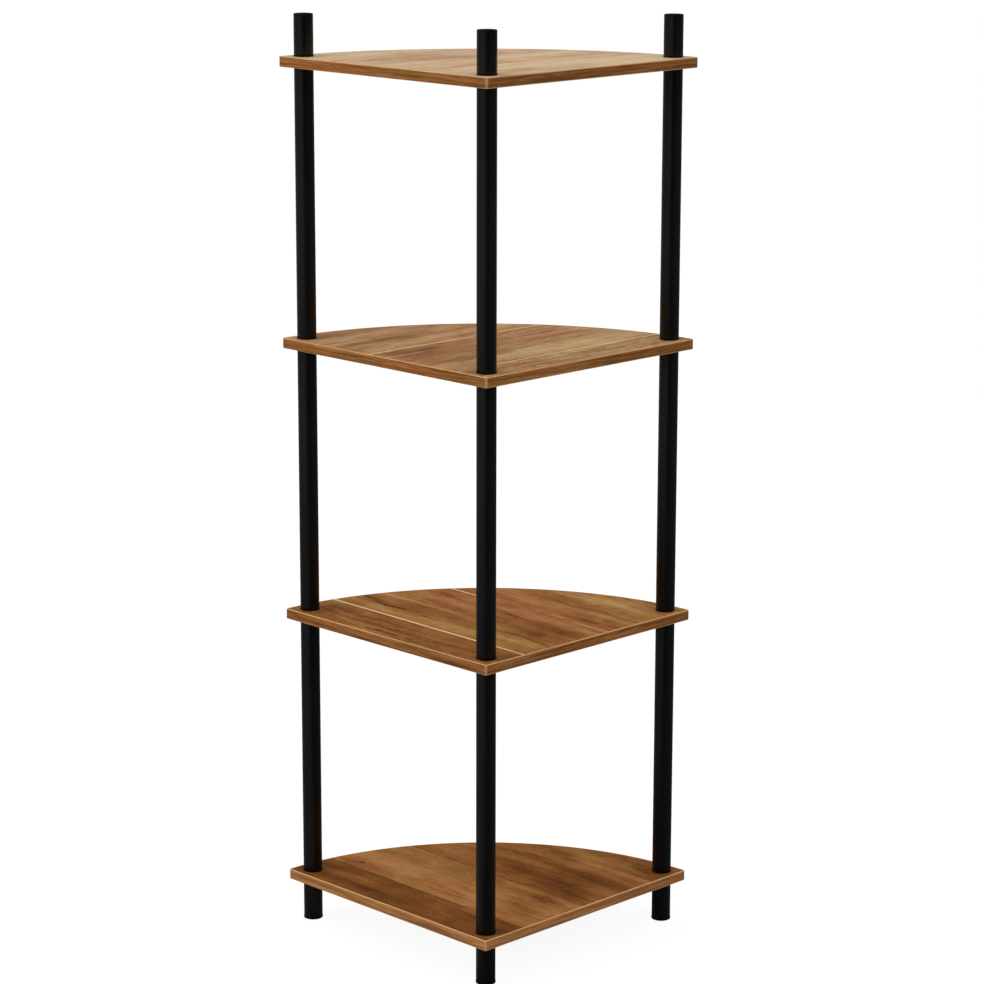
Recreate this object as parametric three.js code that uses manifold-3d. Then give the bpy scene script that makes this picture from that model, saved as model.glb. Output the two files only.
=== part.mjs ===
// Corner shelf unit: four quarter-round boards on three posts that are built up from short tubes.
// A stud plug in the lower end of each tube goes down through the hole in a board and seats in the
// socket plug in the top of the tube below, so tube, board and tube clamp together.
// Millimetres, +Z up. The origin is on the floor, under the middle of the boards' outline.
// The square corner, which stands in the corner of a room, is at -X +Y. The curve faces +X -Y.

import * as THREE from "three";
import { mergeVertices, toCreasedNormals } from "three/addons/utils/BufferGeometryUtils.js";
import Module from "manifold-3d";

// Boards
const boardSide = 355;
const boardThickness = 12.7;
const bandThickness = 1.5;
const bandEdgeRadius = 1;
const coreCornerRadius = 1.2;
const glueGap = 0.3;
const levelNames = ["bottom", "lower", "upper", "top"];

// Heights between the faces of the boards, the floor and the tops of the posts
const footHeight = 50.4;
const clearHeight = 329;
const stubHeight = 51;

// Post axes, measured from the outer edges of the boards
const cornerPostInset = 21;
const tipPostInset = 20;
const tipPostSetback = 23;

// Tubes
const tubeDiameter = 23.8;
const tubeWall = 1.5;

// Plugs, whose flanges show as thin collars between a tube and a board
const flangeOverhang = 0.35;
const flangeThickness = 1.6;
const flangeChamfer = 0.5;
const ribHeight = 0.8;
const ribWidth = 2.2;
const sleeveWall = 1.6;
const studSleeveLength = 22;
const studEngagement = 15;
const studTipChamfer = 1.2;
const studWall = 2;
const socketFloor = 1.6;

// Caps at both ends of a post
const footCapOverhang = 0.4;
const capEdgeRadius = 1;
const capRimHeight = 1;
const capSleeveLength = 12;

// Clearances
const seatGap = 0.1;
const studClearance = 0.25;
const ribClearance = 0.2;
const studEndClearance = 2;
const cutOverrun = 1;

// How finely the round shapes are divided
const arcSteps = 28;
const cornerSteps = 3;
const roundSides = 18;
const capEdgeSteps = 2;
const ribCount = 6;
const creaseAngle = THREE.MathUtils.degToRad(30);

// Sizes that follow from the ones above
const quarterTurn = Math.PI / 2;
const boardPitch = boardThickness + clearHeight;
const outlineCornerRadius = coreCornerRadius + glueGap + bandThickness;
const tubeRadius = tubeDiameter / 2;
const tubeBoreRadius = tubeRadius - tubeWall;
const ribRadius = tubeBoreRadius - ribClearance;
const sleeveRadius = ribRadius - ribHeight;
const socketRadius = sleeveRadius - sleeveWall;
const socketDepth = studEngagement - seatGap + studEndClearance;
const studRadius = socketRadius - studClearance;
const studHoleRadius = studRadius + studClearance;
const flangeRadius = tubeRadius + flangeOverhang;
const flangeStack = seatGap + flangeThickness + seatGap;
const capThickness = capEdgeRadius + capRimHeight;
const capStack = capThickness + seatGap;

const looks = {
  board: { color: 0x9a6b3f, roughness: 0.45, metalness: 0 },
  edgeBand: { color: 0x855a31, roughness: 0.5, metalness: 0 },
  tube: { color: 0x141414, roughness: 0.38, metalness: 0 },
  plug: { color: 0x0f0f0f, roughness: 0.5, metalness: 0 },
};

const wasm = await Module();
wasm.setup();

// A closed geometry as a solid that can be joined and cut
function solid(geometry) {
  geometry.deleteAttribute("normal");
  geometry.deleteAttribute("uv");
  const merged = mergeVertices(geometry);
  const mesh = new wasm.Mesh({
    numProp: 3,
    vertProperties: new Float32Array(merged.attributes.position.array),
    triVerts: new Uint32Array(merged.index.array),
  });
  return new wasm.Manifold(mesh);
}

// A named mesh of a finished solid, with a material of its own
function piece(name, shape, look) {
  const { vertProperties, triVerts } = shape.getMesh();
  const geometry = new THREE.BufferGeometry();
  geometry.setAttribute("position", new THREE.BufferAttribute(vertProperties, 3));
  geometry.setIndex(new THREE.BufferAttribute(triVerts, 1));
  const mesh = new THREE.Mesh(toCreasedNormals(geometry, creaseAngle));
  mesh.material = new THREE.MeshStandardMaterial(look);
  mesh.name = name;
  return mesh;
}

// A profile of [radius, height] corners, turned about the vertical axis
function turned(profile) {
  const points = profile.map(([radius, height]) => new THREE.Vector2(radius, height));
  return solid(new THREE.LatheGeometry(points, roundSides).rotateX(quarterTurn));
}

// A round bar from one height up to another
function bar(radius, low, high) {
  return turned([[0, low], [radius, low], [radius, high], [0, high]]);
}

// An outline raised from one height by a depth, with its sides left square
function raised(outline, low, depth) {
  const geometry = new THREE.ExtrudeGeometry(outline, { depth, bevelEnabled: false });
  return solid(geometry.translate(0, 0, low));
}

// Points along an arc, both ends included
function arc(centre, radius, fromAngle, toAngle, steps) {
  return Array.from({ length: steps + 1 }, (_, step) => {
    const angle = THREE.MathUtils.lerp(fromAngle, toAngle, step / steps);
    return new THREE.Vector2(Math.cos(angle), Math.sin(angle)).multiplyScalar(radius).add(centre);
  });
}

// The quarter circle of a board seen from above, with its three corners rounded. The square
// corner is at zero and the straight sides run along +X and -Y. The inset draws it all inwards.
function boardOutline(inset) {
  const reach = boardSide - outlineCornerRadius;
  const tipDistance = Math.sqrt(reach ** 2 - outlineCornerRadius ** 2);
  const tipAngle = Math.atan2(outlineCornerRadius, tipDistance);
  const rounding = outlineCornerRadius - inset;
  const square = new THREE.Vector2(outlineCornerRadius, -outlineCornerRadius);
  const rightTip = new THREE.Vector2(tipDistance, -outlineCornerRadius);
  const frontTip = new THREE.Vector2(outlineCornerRadius, -tipDistance);
  const centre = new THREE.Vector2(0, 0);
  return new THREE.Shape([
    ...arc(square, rounding, 2 * quarterTurn, quarterTurn, cornerSteps),
    ...arc(rightTip, rounding, quarterTurn, -tipAngle, cornerSteps),
    ...arc(centre, boardSide - inset, -tipAngle, tipAngle - quarterTurn, arcSteps).slice(1, -1),
    ...arc(frontTip, rounding, tipAngle - quarterTurn, -2 * quarterTurn, cornerSteps),
  ]);
}

// Post axes in the boards' own frame
const posts = {
  corner: new THREE.Vector2(cornerPostInset, -cornerPostInset),
  right: new THREE.Vector2(boardSide - tipPostSetback, -tipPostInset),
  front: new THREE.Vector2(tipPostInset, tipPostSetback - boardSide),
};

// The board inside its edge band, with a hole for each post's stud
function boardCore() {
  const outline = boardOutline(bandThickness + glueGap);
  const hole = bar(studHoleRadius, -cutOverrun, boardThickness + cutOverrun);
  const holes = Object.values(posts).map((axis) => hole.translate([axis.x, axis.y, 0]));
  return holes.reduce((core, cut) => core.subtract(cut), raised(outline, 0, boardThickness));
}

// The band glued all round the board's edge, with its outer edges eased
function edgeBand() {
  const eased = new THREE.ExtrudeGeometry(boardOutline(0), {
    depth: boardThickness - 2 * bandEdgeRadius,
    bevelThickness: bandEdgeRadius,
    bevelSize: bandEdgeRadius,
    bevelOffset: -bandEdgeRadius,
    bevelSegments: 1,
  });
  const inside = raised(boardOutline(bandThickness), -cutOverrun, boardThickness + 2 * cutOverrun);
  return solid(eased.translate(0, 0, bandEdgeRadius)).subtract(inside);
}

function tube(length) {
  return turned([
    [tubeBoreRadius, 0],
    [tubeRadius, 0],
    [tubeRadius, length],
    [tubeBoreRadius, length],
    [tubeBoreRadius, 0],
  ]);
}

// The part of a plug that is pushed into a tube: a round sleeve with pointed crush ribs
function ribbedSleeve(low, length) {
  const ribHalfAngle = Math.asin(ribWidth / 2 / sleeveRadius);
  const corners = [
    [-ribHalfAngle, sleeveRadius],
    [0, ribRadius],
    [ribHalfAngle, sleeveRadius],
  ];
  const points = [];
  for (let rib = 0; rib < ribCount; rib++) {
    const ribAngle = (rib / ribCount) * 4 * quarterTurn;
    for (const [turn, radius] of corners) {
      const angle = ribAngle + turn;
      points.push(new THREE.Vector2(Math.cos(angle), Math.sin(angle)).multiplyScalar(radius));
    }
  }
  return raised(new THREE.Shape(points), low, length);
}

// The plug in the lower end of a tube, its flange resting on the board at height zero. It is
// cored from above, as a moulded plug is, down to the wall of the stud's tip.
function studPlug() {
  const studTip = -seatGap - boardThickness - studEngagement;
  const flangeAndStud = turned([
    [0, studTip],
    [studRadius - studTipChamfer, studTip],
    [studRadius, studTip + studTipChamfer],
    [studRadius, 0],
    [flangeRadius - flangeChamfer, 0],
    [flangeRadius, flangeChamfer],
    [flangeRadius, flangeThickness],
    [0, flangeThickness],
  ]);
  const sleeveTop = flangeThickness + studSleeveLength;
  const sleeve = ribbedSleeve(flangeThickness / 2, sleeveTop - flangeThickness / 2);
  const core = bar(studRadius - studWall, studTip + studWall, sleeveTop + cutOverrun);
  return flangeAndStud.add(sleeve).subtract(core);
}

// The plug in the upper end of a tube, its flange's upper face at height zero
function socketPlug() {
  const flange = turned([
    [0, -flangeThickness],
    [flangeRadius, -flangeThickness],
    [flangeRadius, -flangeChamfer],
    [flangeRadius - flangeChamfer, 0],
    [0, 0],
  ]);
  const sleeveBottom = -socketDepth - socketFloor;
  const sleeve = ribbedSleeve(sleeveBottom, -flangeThickness / 2 - sleeveBottom);
  return flange.add(sleeve).subtract(bar(socketRadius, -socketDepth, cutOverrun));
}

// A cap that stands out past the tube by its overhang, with its outer face at height zero and
// its sleeve pointing up into the tube
function cap(overhang) {
  const radius = tubeRadius + overhang;
  const edgeCentre = new THREE.Vector2(radius - capEdgeRadius, capEdgeRadius);
  const edge = arc(edgeCentre, capEdgeRadius, -quarterTurn, 0, capEdgeSteps);
  const disc = turned([
    [0, 0],
    ...edge.map((point) => [point.x, point.y]),
    [radius, capThickness],
    [0, capThickness],
  ]);
  const sleeveTop = capThickness + capSleeveLength;
  const sleeve = ribbedSleeve(capThickness / 2, sleeveTop - capThickness / 2);
  return disc.add(sleeve).subtract(bar(socketRadius, capThickness, sleeveTop + cutOverrun));
}

function undersideOf(level) {
  return footHeight + level * boardPitch;
}

function topFaceOf(level) {
  return undersideOf(level) + boardThickness;
}

// A board and its edge band at one level
function boardGroup(level) {
  const group = new THREE.Group();
  const name = levelNames[level];
  group.add(piece(`${name}_board`, boardCore(), looks.board));
  group.add(piece(`${name}_edge_band`, edgeBand(), looks.edgeBand));
  group.position.z = undersideOf(level);
  return group;
}

// Every tube, plug and cap of one post, from the floor up
function postGroup(post, axis) {
  const group = new THREE.Group();
  const place = (name, shape, look, height) => {
    const mesh = piece(`${post}_${name}`, shape, look);
    mesh.position.z = height;
    group.add(mesh);
    return mesh;
  };
  const topLevel = levelNames.length - 1;
  const postTop = topFaceOf(topLevel) + stubHeight;

  place("foot_cap", cap(footCapOverhang), looks.plug, 0);
  place("foot_tube", tube(undersideOf(0) - flangeStack - capStack), looks.tube, capStack);
  levelNames.forEach((name, level) => {
    place(`${name}_socket_plug`, socketPlug(), looks.plug, undersideOf(level) - seatGap);
    place(`${name}_stud_plug`, studPlug(), looks.plug, topFaceOf(level) + seatGap);
    if (level < topLevel) {
      const length = clearHeight - 2 * flangeStack;
      place(`${name}_tube`, tube(length), looks.tube, topFaceOf(level) + flangeStack);
    }
  });
  const stubLength = stubHeight - flangeStack - capStack;
  place("stub_tube", tube(stubLength), looks.tube, topFaceOf(topLevel) + flangeStack);
  place("top_cap", cap(0), looks.plug, postTop).rotation.x = 2 * quarterTurn;

  group.position.set(axis.x, axis.y, 0);
  return group;
}

const shelfUnit = new THREE.Group();
levelNames.forEach((_, level) => shelfUnit.add(boardGroup(level)));
for (const [post, axis] of Object.entries(posts)) {
  shelfUnit.add(postGroup(post, axis));
}
shelfUnit.position.set(-boardSide / 2, boardSide / 2, 0);

export default shelfUnit;
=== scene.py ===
"""Looks of the corner shelf unit: wood-print boards with edge bands, on three black tube posts.

Metres, +Z up. The square corner of the boards is at -X +Y, and the curve faces +X -Y.
"""

from collections import namedtuple
from math import atan2, cos, pi, radians, sin, sqrt

import bmesh
import bpy
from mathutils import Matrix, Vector
from mathutils.geometry import tessellate_polygon


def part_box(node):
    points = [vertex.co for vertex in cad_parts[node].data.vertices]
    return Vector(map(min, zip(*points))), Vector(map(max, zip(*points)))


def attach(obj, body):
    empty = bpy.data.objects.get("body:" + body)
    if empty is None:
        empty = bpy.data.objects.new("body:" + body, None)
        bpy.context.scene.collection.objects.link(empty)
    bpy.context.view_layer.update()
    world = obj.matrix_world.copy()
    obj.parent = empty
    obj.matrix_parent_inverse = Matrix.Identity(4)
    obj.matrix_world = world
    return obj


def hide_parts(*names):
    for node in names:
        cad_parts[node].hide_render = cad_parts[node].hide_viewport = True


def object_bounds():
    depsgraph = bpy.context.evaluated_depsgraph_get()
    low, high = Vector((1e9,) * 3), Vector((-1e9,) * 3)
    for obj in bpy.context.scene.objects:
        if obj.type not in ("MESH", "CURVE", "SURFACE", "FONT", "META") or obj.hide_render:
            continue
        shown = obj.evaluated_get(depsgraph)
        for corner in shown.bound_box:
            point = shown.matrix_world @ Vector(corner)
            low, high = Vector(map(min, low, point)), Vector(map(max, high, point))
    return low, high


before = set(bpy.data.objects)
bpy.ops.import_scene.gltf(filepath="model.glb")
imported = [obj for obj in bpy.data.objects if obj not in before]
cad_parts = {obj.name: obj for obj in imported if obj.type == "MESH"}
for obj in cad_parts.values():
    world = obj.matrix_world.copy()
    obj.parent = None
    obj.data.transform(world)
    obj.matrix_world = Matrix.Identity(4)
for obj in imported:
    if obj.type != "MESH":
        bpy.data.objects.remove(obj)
cad_low, cad_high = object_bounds()

# Camera, as fitted to the photograph
IMAGE_WIDTH = 984
SENSOR_WIDTH_MM = 36
FOCAL_PIXELS = 3200
CAMERA_PLACE = (-2.7348, 2.6953, 1.4497)
CAMERA_YAW = radians(134.6373)
CAMERA_PITCH = radians(13.1279)
CAMERA_ROLL = radians(0.1036)

# Sizes of the pieces that the frame doesn't state by itself
BAND_THICKNESS = 0.0015
BAND_EDGE_RADIUS = 0.001
OUTLINE_CORNER_RADIUS = 0.003
GLUE_LINE = 0.00005
STUD_CLEARANCE = 0.00025
STUD_WALL = 0.002
STUD_TIP_CHAMFER = 0.0012
SEAT_GAP = 0.0001
FLANGE_OVERHANG = 0.00035
FLANGE_THICKNESS = 0.0016
FLANGE_EDGE_RADIUS = 0.0005
TUBE_WALL = 0.0015
TUBE_END_RADIUS = 0.0003
SLEEVE_WALL = 0.0016
RIB_CLEARANCE = 0.0002
RIB_HEIGHT = 0.0008
RIB_WIDTH = 0.0022
RIB_COUNT = 6
SOCKET_FLOOR = 0.0016
CAP_EDGE_RADIUS = 0.001
CAP_THICKNESS = 0.002

# How finely the round shapes are divided
ROUND_STEPS = 96
EDGE_STEPS = 4
CAP_EDGE_STEPS = 8
CORNER_STEPS = 8
CURVE_STEPS = 160
CREASE_ANGLE = radians(30)

LEVELS = ("bottom", "lower", "upper", "top")
POSTS = ("corner", "right", "front")

outer_low, outer_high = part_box("bottom_edge_band")
SIDE = outer_high.x - outer_low.x
CORNER_X = outer_low.x
CORNER_Y = outer_high.y
BOARD_THICKNESS = outer_high.z - outer_low.z

tube_low, tube_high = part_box("corner_foot_tube")
TUBE_RADIUS = (tube_high.x - tube_low.x) / 2
FLANGE_RADIUS = TUBE_RADIUS + FLANGE_OVERHANG
SLEEVE_RADIUS = TUBE_RADIUS - TUBE_WALL - RIB_CLEARANCE - RIB_HEIGHT
SOCKET_RADIUS = SLEEVE_RADIUS - SLEEVE_WALL
STUD_RADIUS = SOCKET_RADIUS - STUD_CLEARANCE
STUD_HOLE_RADIUS = STUD_RADIUS + STUD_CLEARANCE


def linear(level):
    """One 0 to 255 screen level as a linear one from 0 to 1."""
    share = level / 255
    return share / 12.92 if share <= 0.04045 else ((share + 0.055) / 1.055) ** 2.4


def colour(red, green, blue):
    """A colour given in screen levels."""
    return (linear(red), linear(green), linear(blue), 1)


WHITE = colour(255, 255, 255)

# The noise node's level lies about a half, and mostly within a quarter of it
NOISE_MIDDLE = 0.5
NOISE_GAIN = 4.0

# Refractive index of the unit's surfaces, as of melamine resin and plastic
SURFACE_IOR = 1.45

# Levels between which a smooth change goes
RISING = (0.0, 1.0)
FADING = (1.0, 0.0)


class Graph:
    """A node tree. Every input may be a number, a colour, a vector or another node's output."""

    def __init__(self, tree):
        self.tree = tree
        tree.nodes.clear()

    def add(self, kind, inputs=(), output=0, **settings):
        """A new node with its inputs fed. Gives back one of its outputs."""
        node = self.tree.nodes.new(kind)
        for name, value in settings.items():
            setattr(node, name, value)
        for socket, value in dict(inputs).items():
            self.feed(node.inputs[socket], value)
        return node.outputs[output]

    def feed(self, socket, value):
        if isinstance(value, bpy.types.NodeSocket):
            self.tree.links.new(value, socket)
        else:
            socket.default_value = value

    def finish(self, kind, shader):
        """Ends the tree in its output node."""
        output = self.tree.nodes.new(kind)
        self.tree.links.new(shader, output.inputs["Surface"])

    def math(self, operation, *values):
        return self.add("ShaderNodeMath", enumerate(values), operation=operation)

    def total(self, first, *rest):
        for value in rest:
            first = self.math("ADD", first, value)
        return first

    def smooth(self, value, span, levels=RISING):
        """Goes smoothly from the first level to the second as the value crosses the span."""
        inputs = {0: value, 1: span[0], 2: span[1], 3: levels[0], 4: levels[1]}
        return self.add("ShaderNodeMapRange", inputs, interpolation_type="SMOOTHSTEP")

    def vector(self, x, y, z):
        return self.add("ShaderNodeCombineXYZ", {0: x, 1: y, 2: z})

    def split(self, vector):
        parts = self.tree.nodes.new("ShaderNodeSeparateXYZ")
        self.tree.links.new(vector, parts.inputs[0])
        return parts.outputs

    def place(self):
        """The three object coordinates of the shaded point, in metres."""
        return self.split(self.add("ShaderNodeTexCoord", output="Object"))

    def direction(self):
        """The three parts of the direction in which the world is seen."""
        return self.split(self.add("ShaderNodeTexCoord", output="Generated"))

    def light_path(self):
        return self.tree.nodes.new("ShaderNodeLightPath").outputs

    def noise(self, x, y, z, detail=2.0):
        """Smooth noise about zero, of about plus or minus one."""
        inputs = {"Vector": self.vector(x, y, z), "Scale": 1.0, "Detail": detail}
        level = self.add("ShaderNodeTexNoise", inputs)
        return self.math("MULTIPLY", self.math("SUBTRACT", level, NOISE_MIDDLE), NOISE_GAIN)

    def mix(self, share, first, second):
        inputs = {0: share, 6: first, 7: second}
        return self.add("ShaderNodeMix", inputs, output=2, data_type="RGBA")

    def ramp(self, value, stops):
        """A colour looked up along the stops, each a share and a colour."""
        level = self.add("ShaderNodeValToRGB", {0: value})
        elements = level.node.color_ramp.elements
        while len(elements) < len(stops):
            elements.new(1.0)
        for element, (share, shade) in zip(elements, stops):
            element.position = share
            element.color = shade
        return level


def new_material(name):
    material = bpy.data.materials.new(name)
    material.use_nodes = True
    return material, Graph(material.node_tree)


def finish_surface(graph, base, roughness, height, bump_depth, **fixed):
    """Joins colour, roughness and relief to the surface shader. What is fixed is set on its sockets."""
    relief = {"Height": height, "Distance": bump_depth, "Strength": 1.0}
    inputs = {"Base Color": base, "Roughness": roughness, "IOR": SURFACE_IOR,
              "Normal": graph.add("ShaderNodeBump", relief)}
    inputs.update({name.replace("_", " "): value for name, value in fixed.items()})
    graph.finish("ShaderNodeOutputMaterial", graph.add("ShaderNodeBsdfPrincipled", inputs))


# A layer of streaks: about how many lie in a metre along and across the grain, a shift that sets the
# layer apart from the others, how many finer copies it carries, and its weight in what it is added to
Layer = namedtuple("Layer", "per_metre_along per_metre_across shift detail weight", defaults=(1.0,))

# A patch is soft and oval, its places and sizes in metres along and across the planks. Its warmth runs
# from -1, yellowish, to 1, reddish. A joint is a pale line between two planks at a distance from the
# square corner, as pale as given near that corner, in the middle and at the far end. Each plank has its
# own tone and its own strength of streaks and flecks. Each board has a share of a pale painted reflection
# over its upper face, which stands for the bright surroundings mirrored at a low angle, and the skew is
# how far the planks turn from a board's side.
Patch = namedtuple("Patch", "along across length width tone warmth", defaults=(0.0,))
Joint = namedtuple("Joint", "across half_width pale_near pale_middle pale_far")
Plank = namedtuple("Plank", "tone streaks flecks")
Print = namedtuple("Print", "planks_along_x skew_share seed veil joints planks patches")

# The plank tones step down from the top board to the bottom one partly as painted light and shade: the
# top board is lightened for the full light from above, and the lower boards are darkened for the light
# that the boards above them hold off. The rest is the print's own tone.
PRINTS = {
    "top": Print(
        planks_along_x=False, skew_share=0.0, seed=3.1, veil=0.32,
        joints=(
            Joint(0.105, 0.0010, 0.2, 0.2, 0.2),
            Joint(0.248, 0.0010, 0.2, 0.2, 0.2),
        ),
        planks=(
            Plank(0.15, 0.80, 0.05),
            Plank(0.12, 0.75, 0.05),
            Plank(0.15, 1.00, 0.07),
        ),
        patches=(
            Patch(0.24, 0.060, 0.34, 0.040, 0.10, -0.5),
            Patch(0.30, 0.020, 0.16, 0.030, 0.10),
            Patch(0.12, 0.200, 0.20, 0.024, -0.10),
            Patch(0.22, 0.165, 0.20, 0.030, 0.08, 0.4),
            Patch(0.20, 0.020, 0.30, 0.050, 0.02, -0.9),
            Patch(0.12, 0.300, 0.22, 0.070, 0.02, -0.9),
        ),
    ),
    "upper": Print(
        planks_along_x=False, skew_share=0.0, seed=11.7, veil=0.13,
        joints=(
            Joint(0.053, 0.0017, 0.0, 0.9, 1.0),
            Joint(0.200, 0.0019, 1.0, 1.0, 0.8),
        ),
        planks=(
            Plank(0.045, 1.90, 0.130),
            Plank(0.080, 1.10, 0.075),
            Plank(0.085, 0.85, 0.060),
        ),
        patches=(
            Patch(0.24, 0.080, 0.34, 0.056, 0.13, -0.7),
            Patch(0.25, 0.030, 0.26, 0.070, 0.08, -0.3),
            Patch(0.28, 0.150, 0.16, 0.060, 0.03, 1.2),
            Patch(0.14, 0.154, 0.22, 0.062, -0.09, 0.6),
            Patch(0.03, 0.150, 0.10, 0.070, -0.12, 0.2),
            Patch(0.05, 0.187, 0.14, 0.016, -0.16, 0.4),
            Patch(0.06, 0.262, 0.20, 0.018, -0.18, 0.3),
            Patch(0.118, 0.292, 0.070, 0.020, 0.06, 1.0),
            Patch(0.10, 0.325, 0.14, 0.030, -0.12, 0.3),
            Patch(0.20, 0.230, 0.26, 0.030, 0.08, -0.5),
            Patch(0.08, 0.100, 0.14, 0.022, -0.12, -0.2),
            Patch(0.10, 0.012, 0.20, 0.005, -0.16),
            Patch(0.16, 0.030, 0.26, 0.004, -0.14),
        ),
    ),
    "lower": Print(
        planks_along_x=True, skew_share=0.023, seed=23.4, veil=0.0,
        joints=(
            Joint(0.0645, 0.0023, 0.8, 1.0, 1.0),
            Joint(0.2085, 0.0018, 0.4, 0.04, 1.0),
        ),
        planks=(
            Plank(-0.09, 0.80, 0.100),
            Plank(-0.03, 1.00, 0.060),
            Plank(0.02, 0.85, 0.065),
        ),
        patches=(
            Patch(0.052, 0.134, 0.030, 0.020, -0.11, 0.3),
            Patch(0.056, 0.132, 0.080, 0.066, -0.11, 0.6),
            Patch(0.080, 0.166, 0.18, 0.020, -0.08, 0.8),
            Patch(0.201, 0.012, 0.014, 0.005, -0.28),
            Patch(0.14, 0.026, 0.24, 0.010, -0.07, 0.2),
            Patch(0.28, 0.044, 0.18, 0.010, -0.12, -0.3),
            Patch(0.16, 0.084, 0.30, 0.024, 0.06, -0.5),
            Patch(0.052, 0.098, 0.10, 0.020, 0.10, -0.5),
            Patch(0.24, 0.120, 0.20, 0.012, -0.12, 0.3),
            Patch(0.10, 0.112, 0.20, 0.008, -0.12, 0.2),
            Patch(0.26, 0.129, 0.16, 0.007, 0.13, 0.4),
            Patch(0.24, 0.088, 0.060, 0.014, -0.10),
            Patch(0.20, 0.164, 0.16, 0.022, 0.06, 0.9),
            Patch(0.12, 0.192, 0.22, 0.018, 0.06, 0.5),
            Patch(0.05, 0.240, 0.16, 0.030, -0.06, 0.5),
            Patch(0.10, 0.266, 0.22, 0.012, -0.10, 0.3),
            Patch(0.08, 0.298, 0.20, 0.026, 0.13, -0.5),
            Patch(0.18, 0.238, 0.16, 0.020, 0.08),
            Patch(0.14, 0.222, 0.30, 0.054, 0.0, 0.8),
            Patch(0.22, 0.165, 0.20, 0.050, 0.0, 0.7),
        ),
    ),
    "bottom": Print(
        planks_along_x=True, skew_share=0.0, seed=31.9, veil=0.0,
        joints=(
            Joint(0.066, 0.0010, 0.1, 0.1, 0.0),
            Joint(0.168, 0.0010, 0.05, 0.05, 0.2),
        ),
        planks=(
            Plank(-0.22, 0.55, 0.035),
            Plank(-0.02, 0.65, 0.060),
            Plank(-0.13, 0.60, 0.055),
        ),
        patches=(
            Patch(0.308, 0.082, 0.010, 0.004, -0.34),
            Patch(0.18, 0.034, 0.60, 0.050, -0.03, 0.9),
            Patch(0.26, 0.018, 0.20, 0.014, -0.08, 0.2),
            Patch(0.16, 0.056, 0.28, 0.010, 0.06, -0.2),
            Patch(0.180, 0.182, 0.32, 0.030, -0.07, 0.3),
            Patch(0.064, 0.200, 0.090, 0.120, -0.07, 0.3),
            Patch(0.050, 0.135, 0.060, 0.110, -0.05, 0.1),
            Patch(0.150, 0.215, 0.18, 0.040, -0.07, 0.4),
            Patch(0.080, 0.250, 0.16, 0.046, -0.07, 0.5),
            Patch(0.060, 0.292, 0.16, 0.012, 0.14, -0.4),
            Patch(0.290, 0.110, 0.12, 0.036, 0.08, 0.3),
            Patch(0.160, 0.110, 0.16, 0.040, 0.04, 0.2),
            Patch(0.230, 0.200, 0.12, 0.040, 0.06, 0.4),
        ),
    ),
}

# The wood's colours from dark to pale, by the tone at which each shows
REDDISH_WOOD = (
    (0.06, colour(77, 38, 12)),
    (0.30, colour(124, 72, 30)),
    (0.50, colour(160, 100, 54)),
    (0.70, colour(186, 132, 82)),
    (0.94, colour(216, 172, 124)),
)
YELLOWISH_WOOD = (
    (0.06, colour(79, 46, 11)),
    (0.30, colour(122, 79, 29)),
    (0.50, colour(155, 111, 56)),
    (0.70, colour(184, 141, 82)),
    (0.94, colour(212, 178, 120)),
)
PALE_JOINT = colour(240, 204, 150)
# A pale colour mixed into the wood as a painted reflection of the bright surroundings at a low angle:
# over the boards' upper faces, and a little into the bands
PAINTED_REFLECTION_PALE = colour(230, 213, 184)

# Streaks of the print. They sway across the planks together, by the weight of the sway in metres.
PRINT_SWAY = Layer(6.0, 13.0, 1.3, 2.0, 0.0060)
PRINT_LIVELINESS = Layer(7.0, 22.0, 23.1, 1.0)
PRINT_LAYERS = {
    "broad": Layer(3.4, 42.0, 5.2, 2.0, 0.09),
    "clouds": Layer(15.0, 24.0, 8.8, 3.0, 0.08),
    "smears": Layer(26.0, 70.0, 27.7, 2.0, 0.05),
    "middle": Layer(13.0, 170.0, 12.4, 3.0, 0.08),
    "short": Layer(38.0, 330.0, 14.1, 3.0, 0.06),
    "fine": Layer(70.0, 900.0, 15.6, 3.0, 0.035),
    "flecks": Layer(85.0, 240.0, 37.2, 2.0),
    "figure": Layer(9.0, 110.0, 19.9, 2.0),
    "hue": Layer(5.0, 30.0, 31.3, 2.0, 0.9),
}
PRINT_TONE = 0.52
PRINT_FIGURE_SPAN = (0.35, 0.95)
PRINT_FIGURE_TONES = (0.0, -0.20)
LIVELINESS_SPAN = (-0.6, 0.6)
LIVELINESS_RANGE = (0.3, 1.4)
WARMTH_SPAN = (-1.1, 1.1)
# The painted reflection is stronger where the print is paler
REFLECTION_TONE_SPAN = (0.4, 0.8)
REFLECTION_RANGE = (0.5, 1.5)

# What makes the streaks of one plank differ from the next one's, and those of one face from the other's
PLANK_SEED_STEP = 4.7
SEED_PER_METRE_UP = 90.0

# A patch fades over this span of the squared distance from its middle, counted in its half sizes
PATCH_FADE_SPAN = (0.0, 1.8)

# A joint changes its paleness over these shares of a side, is fully pale within a share of its half
# width, and is worn a little uneven along its length
JOINT_NEAR_SHARES = (0.08, 0.24)
JOINT_FAR_SHARES = (0.5, 0.7)
JOINT_FULL_SHARE = 0.5
JOINT_WEAR_PER_METRE = 22.0
JOINT_WEAR_SPAN = (-0.9, 0.4)
JOINT_WEAR_RANGE = (0.75, 1.0)

# Satin finish of the printed faces
PRINT_ROUGHNESS = 0.56
PRINT_ROUGHNESS_SWING = 0.035
PRINT_FINE_RELIEF = 0.6
PRINT_MIDDLE_RELIEF = 0.4
PRINT_BUMP_DEPTH = 0.00003


def plank_number(graph, across, layout):
    """How many joints lie between the square corner and the shaded point."""
    number = 0.0
    for joint in layout.joints:
        number = graph.math("ADD", number, graph.math("GREATER_THAN", across, joint.across))
    return number


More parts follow.
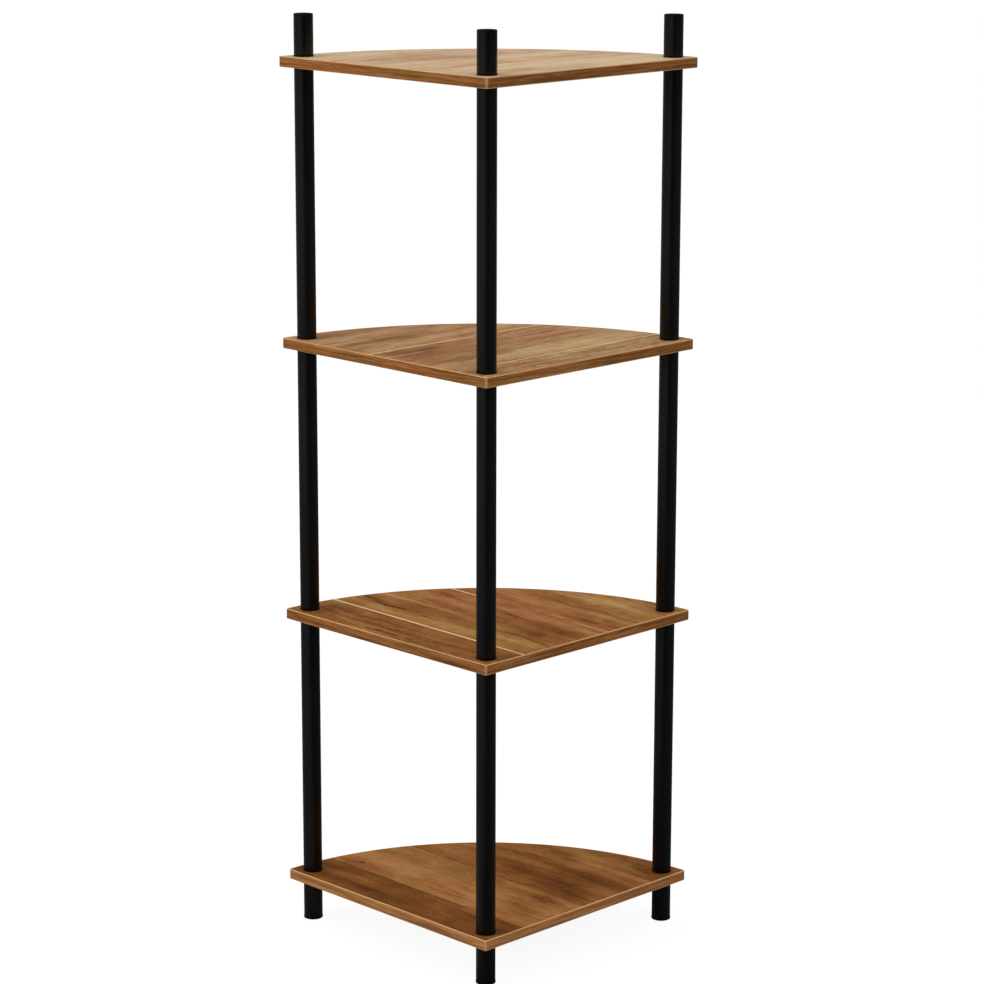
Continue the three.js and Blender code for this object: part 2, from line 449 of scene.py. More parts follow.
def by_plank(graph, across, layout, levels):
    """The level of the plank that the shaded point is on, out of one level for each plank."""
    level = levels[0]
    for joint, before, after in zip(layout.joints, levels, levels[1:]):
        beyond = graph.math("GREATER_THAN", across, joint.across)
        level = graph.math("MULTIPLY_ADD", beyond, after - before, level)
    return level


def patch_sums(graph, along, across, layout):
    """The summed tone and warmth of the soft patches at the shaded point."""
    tone = 0.0
    warmth = 0.0
    for patch in layout.patches:
        reach_along = graph.math("DIVIDE", graph.math("SUBTRACT", along, patch.along), patch.length / 2)
        reach_across = graph.math("DIVIDE", graph.math("SUBTRACT", across, patch.across), patch.width / 2)
        squared = graph.math("MULTIPLY_ADD", reach_along, reach_along,
                             graph.math("MULTIPLY", reach_across, reach_across))
        share = graph.smooth(squared, PATCH_FADE_SPAN, FADING)
        tone = graph.math("MULTIPLY_ADD", share, patch.tone, tone)
        if patch.warmth:
            warmth = graph.math("MULTIPLY_ADD", share, patch.warmth, warmth)
    return tone, warmth


def joint_share(graph, along, across, layout):
    """How much of the pale joint line shows at the shaded point."""
    near_span = [SIDE * reach for reach in JOINT_NEAR_SHARES]
    far_span = [SIDE * reach for reach in JOINT_FAR_SHARES]
    share = 0.0
    for joint in layout.joints:
        offset = graph.math("ABSOLUTE", graph.math("SUBTRACT", across, joint.across))
        near = graph.smooth(along, near_span, (joint.pale_near - joint.pale_middle, 0.0))
        far = graph.smooth(along, far_span, (0.0, joint.pale_far - joint.pale_middle))
        pale = graph.total(near, far, joint.pale_middle)
        edge_span = (joint.half_width * JOINT_FULL_SHARE, joint.half_width)
        share = graph.math("MAXIMUM", share, graph.smooth(offset, edge_span, (pale, 0.0)))
    worn = graph.noise(graph.math("MULTIPLY", along, JOINT_WEAR_PER_METRE), across, layout.seed)
    return graph.math("MULTIPLY", share, graph.smooth(worn, JOINT_WEAR_SPAN, JOINT_WEAR_RANGE))


def wood_colour(graph, tone, warmth):
    """Brown wood of a lightness, from yellowish at a warmth of 0 to reddish at 1."""
    return graph.mix(warmth, graph.ramp(tone, YELLOWISH_WOOD), graph.ramp(tone, REDDISH_WOOD))


def wood_print(level):
    """The plank print on a board's faces."""
    layout = PRINTS[level]
    material, graph = new_material(f"wood_print_{level}")
    x, y, z = graph.place()
    from_corner_x = graph.math("SUBTRACT", x, CORNER_X)
    from_corner_y = graph.math("SUBTRACT", CORNER_Y, y)
    if layout.planks_along_x:
        along, straight = from_corner_x, from_corner_y
    else:
        along, straight = from_corner_y, from_corner_x
    across = graph.math("MULTIPLY_ADD", along, -layout.skew_share, straight)

    seed = graph.math("MULTIPLY_ADD", plank_number(graph, across, layout), PLANK_SEED_STEP, layout.seed)
    seed = graph.math("MULTIPLY_ADD", z, SEED_PER_METRE_UP, seed)

    def streaks(layer, source):
        return graph.noise(graph.math("MULTIPLY", along, layer.per_metre_along),
                           graph.math("MULTIPLY", source, layer.per_metre_across),
                           graph.math("ADD", seed, layer.shift), layer.detail)

    swayed = graph.math("MULTIPLY_ADD", streaks(PRINT_SWAY, across), PRINT_SWAY.weight, across)
    layers = {name: streaks(layer, swayed) for name, layer in PRINT_LAYERS.items()}

    def weighed(name):
        return graph.math("MULTIPLY", layers[name], PRINT_LAYERS[name].weight)

    plank_tones, plank_streaks, plank_flecks = zip(*layout.planks)
    dark_lines = graph.smooth(layers["figure"], PRINT_FIGURE_SPAN, PRINT_FIGURE_TONES)
    grain = graph.total(weighed("middle"), weighed("short"), dark_lines)
    liveliness = graph.smooth(streaks(PRINT_LIVELINESS, across), LIVELINESS_SPAN, LIVELINESS_RANGE)
    grain_strength = graph.math("MULTIPLY", liveliness, by_plank(graph, across, layout, plank_streaks))
    patch_tone, patch_warmth = patch_sums(graph, along, swayed, layout)
    tone = graph.total(
        graph.math("ADD", weighed("broad"), PRINT_TONE),
        weighed("clouds"),
        weighed("smears"),
        graph.math("MULTIPLY", grain, grain_strength),
        weighed("fine"),
        graph.math("MULTIPLY", layers["flecks"], by_plank(graph, across, layout, plank_flecks)),
        by_plank(graph, across, layout, plank_tones),
        patch_tone,
    )
    warmth = graph.smooth(graph.math("ADD", weighed("hue"), patch_warmth), WARMTH_SPAN)

    board_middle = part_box(f"{level}_board")[0].z + BOARD_THICKNESS / 2
    # Painted reflection: a pale haze over the upper face only, which stands for the bright surroundings
    # mirrored at a low angle
    reflection_share = graph.math("MULTIPLY", graph.math("GREATER_THAN", z, board_middle), layout.veil)
    reflection_share = graph.math("MULTIPLY", reflection_share, graph.smooth(tone, REFLECTION_TONE_SPAN, REFLECTION_RANGE))
    wood_with_reflection = graph.mix(reflection_share, wood_colour(graph, tone, warmth), PAINTED_REFLECTION_PALE)
    printed = graph.mix(joint_share(graph, along, across, layout), wood_with_reflection, PALE_JOINT)

    roughness = graph.math("MULTIPLY_ADD", layers["middle"], PRINT_ROUGHNESS_SWING, PRINT_ROUGHNESS)
    relief = graph.math("MULTIPLY_ADD", layers["fine"], PRINT_FINE_RELIEF,
                        graph.math("MULTIPLY", layers["middle"], PRINT_MIDDLE_RELIEF))
    finish_surface(graph, printed, roughness, relief, PRINT_BUMP_DEPTH,
                   Specular_IOR_Level=0.05, Sheen_Weight=0.14, Sheen_Roughness=0.15)
    return material


# Each board's band: its tone, how far it leans to reddish, how strong its grain is, its share of the
# pale painted reflection and a number that sets its grain apart
Band = namedtuple("Band", "tone warmth contrast veil seed")
BANDS = {
    "top": Band(0.335, 0.0, 0.80, 0.010, 0.0),
    "upper": Band(0.365, 0.0, 0.85, 0.010, 4.2),
    "lower": Band(0.35, 0.1, 0.9, 0.014, 9.1),
    # The bottom band's higher tone is painted light: it stands for light thrown up from the floor onto
    # the lowest edges
    "bottom": Band(0.49, 0.35, 0.85, 0.026, 14.6),
}

# Lines of the grain. They wave up and down together, by the weight of the wave in metres.
BAND_WAVE = Layer(16.0, 60.0, 1.0, 2.0, 0.0011)
BAND_WEAR = Layer(60.0, 8.0, 2.0, 2.0)
BAND_LAYERS = {
    "broad": Layer(5.0, 200.0, 3.0, 2.0, 0.15),
    "middle": Layer(12.0, 520.0, 9.0, 2.0, 0.17),
    "short": Layer(60.0, 700.0, 13.0, 2.0, 0.08),
    "fine": Layer(45.0, 1500.0, 17.0, 2.0, 0.09),
    "figure": Layer(7.0, 330.0, 23.0, 2.0),
    "hue": Layer(6.0, 120.0, 31.0, 2.0),
}
BAND_FIGURE_SPAN = (0.2, 0.8)
BAND_FIGURE_TONES = (0.03, -0.17)
BAND_HUE_SPAN = (-1.0, 1.0)
BAND_LEAST_WARMTH = 0.2

# The pale worn and trimmed edge of the band. It is wider on the side that faces -X as painted light for
# that less lit side, and at the square corner it is a painted highlight
BAND_TRIM_AND_HIGHLIGHT_PALE = colour(224, 174, 120)
BAND_TRIM = 0.0009
BAND_TRIM_WITH_PAINTED_LIGHT = 0.0013
BAND_FULL_TRIM_SHARE = 0.5
BAND_ARRIS_SHARE = 0.85
CORNER_PAINTED_HIGHLIGHT_SHARE = 0.55
CORNER_HIGHLIGHT_RADIUS_SHARES = (0.3, 1.2)
BAND_WEAR_SPAN = (-1.2, 0.6)
BAND_WEAR_RANGE = (0.7, 1.0)

# Satin finish of the bands
BAND_ROUGHNESS = 0.48
BAND_ROUGHNESS_SWING = 0.04
BAND_RELIEF_SHARE = 0.5
BAND_BUMP_DEPTH = 0.00004


def band_pale_edge_and_highlight(graph, x, y, height):
    """How pale the band's edge is at the shaded point: trimmed paler most at both edges, wider on the -X
    side as painted light, and less at the square corner, where it is a painted highlight.
    """
    from_x = graph.math("SUBTRACT", x, CORNER_X)
    from_y = graph.math("SUBTRACT", CORNER_Y, y)
    # On the side that faces -X the pale edge is widened as painted light
    painted_light_side = graph.math("LESS_THAN", from_x, OUTLINE_CORNER_RADIUS)
    pale_width = graph.math("MULTIPLY_ADD", painted_light_side, BAND_TRIM_WITH_PAINTED_LIGHT - BAND_TRIM, BAND_TRIM)
    from_middle = graph.math("ABSOLUTE", graph.math("SUBTRACT", height, BOARD_THICKNESS / 2))
    pale_start = graph.math("SUBTRACT", BOARD_THICKNESS / 2, pale_width)
    pale_full = graph.math("MULTIPLY_ADD", pale_width, -BAND_FULL_TRIM_SHARE, BOARD_THICKNESS / 2)
    edge = graph.smooth(from_middle, (pale_start, pale_full), (0.0, BAND_ARRIS_SHARE))
    # A painted highlight on the rounded square corner
    from_corner = graph.math("MAXIMUM", from_x, from_y)
    corner_highlight_span = [OUTLINE_CORNER_RADIUS * share for share in CORNER_HIGHLIGHT_RADIUS_SHARES]
    corner = graph.smooth(from_corner, corner_highlight_span, (CORNER_PAINTED_HIGHLIGHT_SHARE, 0.0))
    return graph.math("MAXIMUM", edge, corner)


def band_grain(level):
    """The edge band: fine grain that runs along the band, with its edges trimmed paler, widened as
    painted light on the -X side and with a painted highlight at the square corner.
    """
    band = BANDS[level]
    material, graph = new_material(f"edge_band_grain_{level}")
    x, y, z = graph.place()

    def lines(layer, source):
        return graph.noise(graph.math("MULTIPLY", x, layer.per_metre_along),
                           graph.math("MULTIPLY", y, layer.per_metre_along),
                           graph.math("MULTIPLY_ADD", source, layer.per_metre_across,
                                      layer.shift + band.seed), layer.detail)

    waved = graph.math("MULTIPLY_ADD", lines(BAND_WAVE, z), BAND_WAVE.weight, z)
    layers = {name: lines(layer, waved) for name, layer in BAND_LAYERS.items()}
    streaks = [graph.math("MULTIPLY", layers[name], BAND_LAYERS[name].weight)
               for name in ("broad", "middle", "short", "fine")]
    grain = graph.total(*streaks, graph.smooth(layers["figure"], BAND_FIGURE_SPAN, BAND_FIGURE_TONES))
    tone = graph.math("MULTIPLY_ADD", grain, band.contrast, band.tone)
    warmth = graph.smooth(layers["hue"], BAND_HUE_SPAN, (BAND_LEAST_WARMTH + band.warmth, 1.0))
    # A small share of the pale painted reflection over the band
    wood = graph.mix(band.veil, wood_colour(graph, tone, warmth), PAINTED_REFLECTION_PALE)

    height = graph.math("SUBTRACT", z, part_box(f"{level}_edge_band")[0].z)
    wear = graph.smooth(lines(BAND_WEAR, z), BAND_WEAR_SPAN, BAND_WEAR_RANGE)
    # The pale edge: a worn, trimmed edge with painted light on the -X side and a painted highlight at the
    # corner
    worn = graph.math("MULTIPLY", band_pale_edge_and_highlight(graph, x, y, height), wear)
    base = graph.mix(worn, wood, BAND_TRIM_AND_HIGHLIGHT_PALE)

    roughness = graph.math("MULTIPLY_ADD", layers["middle"], BAND_ROUGHNESS_SWING, BAND_ROUGHNESS)
    relief = graph.math("MULTIPLY_ADD", layers["fine"], BAND_RELIEF_SHARE,
                        graph.math("MULTIPLY", layers["middle"], BAND_RELIEF_SHARE))
    finish_surface(graph, base, roughness, relief, BAND_BUMP_DEPTH, Specular_IOR_Level=0.08)
    return material


# Black finishes. The grain of their layers runs upright.
DEEP_BLACK = colour(3, 3, 3)
DUSTY_TUBE_BLACK = colour(7, 7, 7)
DUSTY_PLUG_BLACK = colour(6, 6, 6)
TUBE_ROUGHNESS = 0.32
PLUG_ROUGHNESS = 0.50
DRAWN_LINES = Layer(3.0, 420.0, 5.0, 2.0, 0.4)
DUST = Layer(16.0, 38.0, 9.0, 3.0)
TUBE_SPECKLE = Layer(1400.0, 1400.0, 1.0, 2.0)
PLUG_SPECKLE = Layer(2200.0, 2200.0, 1.0, 2.0)
BLACK_SHADE_SPAN = (-0.8, 1.6)
DUST_ROUGHNESS = 0.03
SPECKLE_ROUGHNESS = 0.02
DRAWN_RELIEF_SHARE = 0.5
BLACK_BUMP_DEPTH = 0.000012


def black_finish(name, dusty_black, roughness, speckle_layer):
    """Near-black satin: a faint moulded texture, fine upright drawing lines and a little dust."""
    material, graph = new_material(name)
    x, y, z = graph.place()

    def scaled(layer):
        return graph.noise(graph.math("MULTIPLY_ADD", x, layer.per_metre_across, layer.shift),
                           graph.math("MULTIPLY", y, layer.per_metre_across),
                           graph.math("MULTIPLY", z, layer.per_metre_along), layer.detail)

    speckle = scaled(speckle_layer)
    drawn = scaled(DRAWN_LINES)
    dust = scaled(DUST)
    shade = graph.smooth(graph.math("MULTIPLY_ADD", drawn, DRAWN_LINES.weight, dust), BLACK_SHADE_SPAN)
    uneven = graph.total(graph.math("MULTIPLY_ADD", dust, DUST_ROUGHNESS, roughness),
                         graph.math("MULTIPLY", speckle, SPECKLE_ROUGHNESS))
    relief = graph.math("MULTIPLY_ADD", drawn, DRAWN_RELIEF_SHARE, speckle)
    base = graph.mix(shade, DEEP_BLACK, dusty_black)
    finish_surface(graph, base, uneven, relief, BLACK_BUMP_DEPTH, Specular_IOR_Level=0.3)
    return material


def arc(centre, radius, start, end, steps):
    """Points along an arc from one angle to another, both ends included."""
    angles = [start + (end - start) * step / steps for step in range(steps + 1)]
    return [(centre[0] + radius * cos(angle), centre[1] + radius * sin(angle)) for angle in angles]


def quarter_round(centre, radius, start, steps):
    """Profile points of a rounded edge, a quarter turn anticlockwise from the start angle."""
    return arc(centre, radius, start, start + pi / 2, steps)


def circle(centre, radius):
    return arc(centre, radius, 0.0, 2 * pi, ROUND_STEPS)[:-1]


def quarter_outline(inset):
    """A board's outline seen from above, in the frame's own place, drawn in by the inset."""
    rounding = OUTLINE_CORNER_RADIUS - inset
    reach = SIDE - OUTLINE_CORNER_RADIUS
    tip_distance = sqrt(reach ** 2 - OUTLINE_CORNER_RADIUS ** 2)
    tip_angle = atan2(OUTLINE_CORNER_RADIUS, tip_distance)
    near_x = CORNER_X + OUTLINE_CORNER_RADIUS
    near_y = CORNER_Y - OUTLINE_CORNER_RADIUS
    right_tip = (CORNER_X + tip_distance, near_y)
    front_tip = (near_x, CORNER_Y - tip_distance)
    curve = arc((CORNER_X, CORNER_Y), SIDE - inset, -tip_angle, tip_angle - pi / 2, CURVE_STEPS)
    return [
        *arc((near_x, near_y), rounding, pi, pi / 2, CORNER_STEPS),
        *arc(right_tip, rounding, pi / 2, -tip_angle, CORNER_STEPS),
        *curve[1:-1],
        *arc(front_tip, rounding, tip_angle - pi / 2, -pi, CORNER_STEPS),
    ]


def at_height(outline, height):
    return [(x, y, height) for x, y in outline]


def skin(rings, closed):
    """Points and faces of a surface through rings of equal length. It closes on itself or is capped."""
    count = len(rings[0])
    points = [point for ring in rings for point in ring]
    faces = []
    for index in range(len(rings) if closed else len(rings) - 1):
        first = index * count
        second = (index + 1) % len(rings) * count
        for step in range(count):
            after = (step + 1) % count
            faces.append((first + step, first + after, second + after, second + step))
    if not closed:
        faces.append(tuple(range(count))[::-1])
        faces.append(tuple(range(len(points) - count, len(points))))
    return points, faces


def add_piece(name, points, faces, material, node):
    """A finished piece that rides on the frame and stands for one CAD node."""
    mesh = bpy.data.meshes.new(name)
    mesh.from_pydata(points, [], faces)
    shape = bmesh.new()
    shape.from_mesh(mesh)
    bmesh.ops.recalc_face_normals(shape, faces=shape.faces)
    for face in shape.faces:
        face.smooth = True
    for edge in shape.edges:
        edge.smooth = edge.calc_face_angle(0) < CREASE_ANGLE
    shape.to_mesh(mesh)
    shape.free()
    mesh.materials.append(material)
    piece = bpy.data.objects.new(name, mesh)
    bpy.context.scene.collection.objects.link(piece)
    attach(piece, "root")
    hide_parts(node)


def board_panel(level, axes, material):
    """The board inside its band, with a hole for each post's stud."""
    low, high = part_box(f"{level}_board")
    loops = [quarter_outline(BAND_THICKNESS + GLUE_LINE)]
    loops += [circle(axis, STUD_HOLE_RADIUS) for axis in axes.values()]
    flat = [point for loop in loops for point in loop]
    triangles = tessellate_polygon([[Vector((x, y, 0)) for x, y in loop] for loop in loops])
    points = at_height(flat, low.z) + at_height(flat, high.z)
    faces = [tuple(triangle) for triangle in triangles]
    faces += [tuple(index + len(flat) for index in triangle)[::-1] for triangle in triangles]
    start = 0
    for loop in loops:
        for step in range(len(loop)):
            here = start + step
            after = start + (step + 1) % len(loop)
            faces.append((here, after, after + len(flat), here + len(flat)))
        start += len(loop)
    add_piece(f"{level}_panel", points, faces, material, f"{level}_board")


def edge_band(level, material):
    """The band round a board's edge, with both outer edges rounded."""
    low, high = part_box(f"{level}_edge_band")
    radius = BAND_EDGE_RADIUS
    profile = [(BAND_THICKNESS, high.z), (BAND_THICKNESS, low.z)]
    profile += quarter_round((radius, low.z + radius), radius, pi, EDGE_STEPS)[::-1]
    profile += quarter_round((radius, high.z - radius), radius, pi / 2, EDGE_STEPS)[::-1]
    rings = [at_height(quarter_outline(inset), height) for inset, height in profile]
    points, faces = skin(rings, closed=True)
    add_piece(f"{level}_band", points, faces, material, f"{level}_edge_band")


def rib_share(angle, radius):
    """How far a crush rib stands up at an angle, from 0 to 1."""
    spacing = 2 * pi / RIB_COUNT
    offset = abs((angle + spacing / 2) % spacing - spacing / 2) * radius
    return max(0.0, 1 - offset / (RIB_WIDTH / 2))


def turned(node, axis, profile, material, closed=False):
    """Turns a profile of (radius, height, has_ribs) about an upright axis, in place of a CAD node."""
    rings = []
    for radius, height, has_ribs in profile:
        ring = []
        for step in range(ROUND_STEPS):
            angle = 2 * pi * step / ROUND_STEPS
            reach = radius + (RIB_HEIGHT * rib_share(angle, radius) if has_ribs else 0.0)
            ring.append((axis.x + reach * cos(angle), axis.y + reach * sin(angle), height))
        rings.append(ring)
    points, faces = skin(rings, closed)
    add_piece(f"{node}_body", points, faces, material, node)


def plain(profile):
    return [(radius, height, False) for radius, height in profile]


def ribbed(profile):
    return [(radius, height, True) for radius, height in profile]


def tube_piece(node, axis, material):
    """A tube with softened ends."""
    low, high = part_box(node)
    bore = TUBE_RADIUS - TUBE_WALL
    soft = TUBE_END_RADIUS
    lower = quarter_round((TUBE_RADIUS - soft, low.z + soft), soft, -pi / 2, EDGE_STEPS)
    upper = quarter_round((TUBE_RADIUS - soft, high.z - soft), soft, 0.0, EDGE_STEPS)
    profile = [(bore, low.z), *lower, *upper, (bore, high.z)]
    turned(node, axis, plain(profile), material, closed=True)


def stud_plug_piece(node, axis, board_top, material):
    """The plug in the lower end of a tube. Its stud goes down through the board."""
    low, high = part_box(node)
    flange_low = board_top + SEAT_GAP
    flange_high = flange_low + FLANGE_THICKNESS
    soft = FLANGE_EDGE_RADIUS
    outside = [
        (STUD_RADIUS - STUD_TIP_CHAMFER, low.z),
        (STUD_RADIUS, low.z + STUD_TIP_CHAMFER),
        (STUD_RADIUS, flange_low),
        *quarter_round((FLANGE_RADIUS - soft, flange_low + soft), soft, -pi / 2, EDGE_STEPS),
        (FLANGE_RADIUS, flange_high),
    ]
    sleeve = [(SLEEVE_RADIUS, flange_high), (SLEEVE_RADIUS, high.z)]
    core = [(STUD_RADIUS - STUD_WALL, high.z), (STUD_RADIUS - STUD_WALL, low.z + STUD_WALL)]
    turned(node, axis, plain(outside) + ribbed(sleeve) + plain(core), material)


def socket_plug_piece(node, axis, material):
    """The plug in the upper end of a tube. It takes the stud from the tube above."""
    low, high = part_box(node)
    flange_low = high.z - FLANGE_THICKNESS
    soft = FLANGE_EDGE_RADIUS
    sleeve = [(SLEEVE_RADIUS, low.z), (SLEEVE_RADIUS, flange_low)]
    outside = [
        (FLANGE_RADIUS, flange_low),
        *quarter_round((FLANGE_RADIUS - soft, high.z - soft), soft, 0.0, EDGE_STEPS),
    ]
    socket = [(SOCKET_RADIUS, high.z), (SOCKET_RADIUS, low.z + SOCKET_FLOOR)]
    turned(node, axis, ribbed(sleeve) + plain(outside + socket), material)


def cap_piece(node, axis, points_up, material):
    """A cap with a rounded rim. Its sleeve points up or down into the tube."""
    low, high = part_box(node)
    radius = (high.x - low.x) / 2
    face, sleeve_end, inward = (low.z, high.z, 1) if points_up else (high.z, low.z, -1)
    soft = CAP_EDGE_RADIUS
    rim = quarter_round((radius - soft, soft), soft, -pi / 2, CAP_EDGE_STEPS)
    under = face + inward * CAP_THICKNESS
    outside = [(reach, face + inward * depth) for reach, depth in rim] + [(radius, under)]
    sleeve = [(SLEEVE_RADIUS, under), (SLEEVE_RADIUS, sleeve_end)]
    inside = [(SOCKET_RADIUS, sleeve_end), (SOCKET_RADIUS, under)]
    turned(node, axis, plain(outside) + ribbed(sleeve) + plain(inside), material)


def add_camera():
    data = bpy.data.cameras.new("camera")
    data.sensor_width = SENSOR_WIDTH_MM
    data.lens = FOCAL_PIXELS / IMAGE_WIDTH * SENSOR_WIDTH_MM
    camera = bpy.data.objects.new("camera", data)
    camera.location = CAMERA_PLACE
    camera.rotation_euler = (pi / 2 - CAMERA_PITCH, -CAMERA_ROLL, -CAMERA_YAW)
    bpy.context.scene.collection.objects.link(camera)
    bpy.context.scene.camera = camera


# Large soft lamps, in metres and watts. They show neither to the camera nor in a gloss.
Softbox = namedtuple("Softbox", "name place size power")
SOFTBOXES = (
    Softbox("key", (1.4, 2.6, 2.0), 2.6, 50),
    Softbox("fill", (-2.9, -0.3, 1.7), 2.0, 6.5),
)

# The side of the unit that the key lamp stands on, seen from above
KEY_SIDE = Vector((0.70, 0.71))

# Strength of the world's light at the horizon, and how much more it has at the zenith
HORIZON_LEVEL = 0.5
ZENITH_GAIN = 0.6

# How much of the white backdrop a gloss sees in a direction. The spans tell how far the direction turns
# to the key lamp's side, or for those named FAR to the side square to it, each from -1 to 1.
EVEN_GLOW = 0.04
KEY_GLOW_SPAN = (0.0, 0.5)
KEY_GLOW_FAR_SPAN = (-0.75, 0.2)
KEY_GLOW_FAR_RANGE = (1.0, 0.42)
BACK_GLOW_SPAN = (-0.7, -0.25)
BACK_GLOW_RANGE = (0.24, 0.0)
BACK_GLOW_FAR_SPAN = (-0.4, 0.4)
BACK_GLOW_FAR_RANGE = (1.0, 0.5)
FAR_GLOW_SPAN = (0.2, 0.9)
WORLD_GLOSS_SHARE = 0.5

# Heights of the world's directions up to which the glow on the far side fades
LOW_GLOW_SPAN = (0.0, 0.20)

# The floor's paper, its backdrop, and how its share in a gloss changes with the distance
FLOOR_HALF_WIDTH = 40.0
FLOOR_GREYS = (colour(158, 158, 158), colour(164, 164, 164))
MOTTLE_PER_METRE = 3.0
MOTTLE_SPAN = (-1.0, 1.0)
FLOOR_BACKDROP_SHARE = 0.7
FLOOR_BACKDROP_LEVEL = 1.32
FLOOR_FAR_GAIN = -0.1
FLOOR_RISE_SPAN = (2.2, 5.0)
FLOOR_RISE_RANGE = (0.22, 1.0)
FLOOR_FALL_SPAN = (4.0, 6.5)
FLOOR_FALL_RANGE = (1.0, 0.5)


def add_softbox(softbox):
    """A lamp turned towards the middle of the unit."""
    data = bpy.data.lights.new(softbox.name, "AREA")
    data.shape = "SQUARE"
    data.size = softbox.size
    data.energy = softbox.power
    lamp = bpy.data.objects.new(softbox.name, data)
    lamp.location = softbox.place
    aim = (cad_low + cad_high) / 2 - Vector(softbox.place)
    lamp.rotation_euler = aim.to_track_quat("-Z", "Y").to_euler()
    lamp.visible_camera = False
    lamp.visible_glossy = False
    bpy.context.scene.collection.objects.link(lamp)


def seen_directly(graph):
    """One for rays that show a surface to the camera, straight or by reflection, and zero for light."""
    path = graph.light_path()
    shown = graph.math("MAXIMUM", path["Is Camera Ray"], path["Is Glossy Ray"])
    return graph.math("MAXIMUM", shown, path["Is Transmission Ray"])


def backdrop_white(graph, x, y, far_gain, full, gloss_share):
    """The level of the white backdrop. A gloss sees it full near the key lamp and dimmer elsewhere."""
    to_key = graph.math("MULTIPLY_ADD", x, KEY_SIDE.x, graph.math("MULTIPLY", y, KEY_SIDE.y))
    to_far = graph.math("MULTIPLY_ADD", x, KEY_SIDE.y, graph.math("MULTIPLY", y, -KEY_SIDE.x))
    key_glow = graph.math("MULTIPLY", graph.smooth(to_key, KEY_GLOW_SPAN),
                          graph.smooth(to_far, KEY_GLOW_FAR_SPAN, KEY_GLOW_FAR_RANGE))
    back_glow = graph.math("MULTIPLY", graph.smooth(to_key, BACK_GLOW_SPAN, BACK_GLOW_RANGE),
                           graph.smooth(to_far, BACK_GLOW_FAR_SPAN, BACK_GLOW_FAR_RANGE))
    far_glow = graph.math("MULTIPLY", graph.smooth(to_far, FAR_GLOW_SPAN), far_gain)
    in_gloss = graph.total(key_glow, EVEN_GLOW, back_glow, far_glow)
    dimming = graph.math("MULTIPLY_ADD", graph.math("MULTIPLY", in_gloss, gloss_share), full, -full)
    return graph.math("MULTIPLY_ADD", graph.light_path()["Is Glossy Ray"], dimming, full)


def set_world():
    """A white backdrop, which lights the unit at a plain level that rises a little towards the zenith."""
    world = bpy.data.worlds.new("studio")
    world.use_nodes = True
    bpy.context.scene.world = world
    graph = Graph(world.node_tree)
    x, y, z = graph.direction()
    level = graph.math("MULTIPLY_ADD", graph.math("MAXIMUM", z, 0.0), ZENITH_GAIN, HORIZON_LEVEL)
    light = graph.add("ShaderNodeBackground", {"Color": WHITE, "Strength": level})
    low_glow = graph.smooth(z, LOW_GLOW_SPAN, FADING)
    white = backdrop_white(graph, x, y, low_glow, 1.0, WORLD_GLOSS_SHARE)
    backdrop = graph.add("ShaderNodeBackground", {"Color": WHITE, "Strength": white})
    mixed = graph.add("ShaderNodeMixShader", {0: seen_directly(graph), 1: light, 2: backdrop})
    graph.finish("ShaderNodeOutputWorld", mixed)


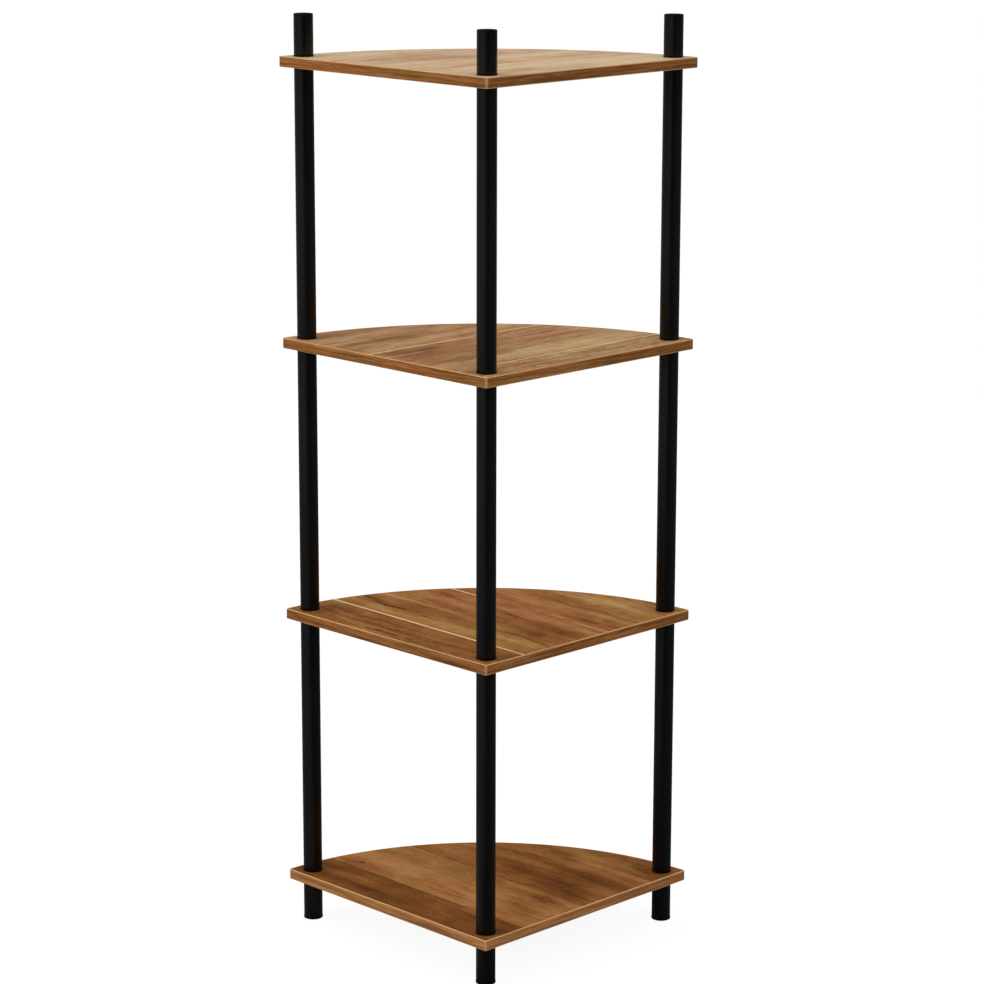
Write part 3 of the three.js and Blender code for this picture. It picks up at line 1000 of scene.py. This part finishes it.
def floor_paper():
    """Pale paper that fades into the backdrop and keeps a soft shadow."""
    material, graph = new_material("floor_paper")
    x, y, z = graph.place()
    mottle = graph.noise(graph.math("MULTIPLY", x, MOTTLE_PER_METRE),
                         graph.math("MULTIPLY", y, MOTTLE_PER_METRE), z)
    paper = graph.mix(graph.smooth(mottle, MOTTLE_SPAN), *FLOOR_GREYS)
    shaded = graph.add("ShaderNodeBsdfDiffuse", {"Color": paper})
    offset = graph.vector(x, y, 0.0)
    away = graph.add("ShaderNodeVectorMath", {0: offset}, operation="NORMALIZE")
    side_x, side_y, _ = graph.split(away)
    distance = graph.add("ShaderNodeVectorMath", {0: offset}, output=1, operation="LENGTH")
    gloss_share = graph.math("MULTIPLY", graph.smooth(distance, FLOOR_RISE_SPAN, FLOOR_RISE_RANGE),
                             graph.smooth(distance, FLOOR_FALL_SPAN, FLOOR_FALL_RANGE))
    level = backdrop_white(graph, side_x, side_y, FLOOR_FAR_GAIN, FLOOR_BACKDROP_LEVEL, gloss_share)
    glow = graph.add("ShaderNodeEmission", {"Color": WHITE, "Strength": level})
    share = graph.math("MULTIPLY", seen_directly(graph), FLOOR_BACKDROP_SHARE)
    mixed = graph.add("ShaderNodeMixShader", {0: share, 1: shaded, 2: glow})
    graph.finish("ShaderNodeOutputMaterial", mixed)
    return material


def add_floor():
    mesh = bpy.data.meshes.new("floor")
    corners = [(x * FLOOR_HALF_WIDTH, y * FLOOR_HALF_WIDTH, 0.0)
               for x, y in ((-1, -1), (1, -1), (1, 1), (-1, 1))]
    mesh.from_pydata(corners, [], [(0, 1, 2, 3)])
    mesh.materials.append(floor_paper())
    floor = bpy.data.objects.new("floor", mesh)
    bpy.context.scene.collection.objects.link(floor)


def post_axis(post):
    """The middle of a post's foot, which its axis goes through."""
    low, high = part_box(f"{post}_foot_tube")
    return (low + high) / 2


def add_post(post, axis, tube_black, plug_black):
    """Every tube, plug and cap of one post."""
    tube_nodes = [f"{post}_foot_tube", f"{post}_stub_tube"]
    tube_nodes += [f"{post}_{level}_tube" for level in LEVELS[:-1]]
    for node in tube_nodes:
        tube_piece(node, axis, tube_black)
    for level in LEVELS:
        board_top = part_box(f"{level}_edge_band")[1].z
        stud_plug_piece(f"{post}_{level}_stud_plug", axis, board_top, plug_black)
        socket_plug_piece(f"{post}_{level}_socket_plug", axis, plug_black)
    cap_piece(f"{post}_foot_cap", axis, points_up=True, material=plug_black)
    cap_piece(f"{post}_top_cap", axis, points_up=False, material=plug_black)


add_camera()
bpy.context.scene.view_settings.view_transform = "Standard"
set_world()
for softbox in SOFTBOXES:
    add_softbox(softbox)
add_floor()

tube_black = black_finish("tube_satin_black", DUSTY_TUBE_BLACK, TUBE_ROUGHNESS, TUBE_SPECKLE)
plug_black = black_finish("plug_moulded_black", DUSTY_PLUG_BLACK, PLUG_ROUGHNESS, PLUG_SPECKLE)

post_axes = {post: post_axis(post) for post in POSTS}
for level in LEVELS:
    board_panel(level, post_axes, wood_print(level))
    edge_band(level, band_grain(level))
for post, axis in post_axes.items():
    add_post(post, axis, tube_black, plug_black)
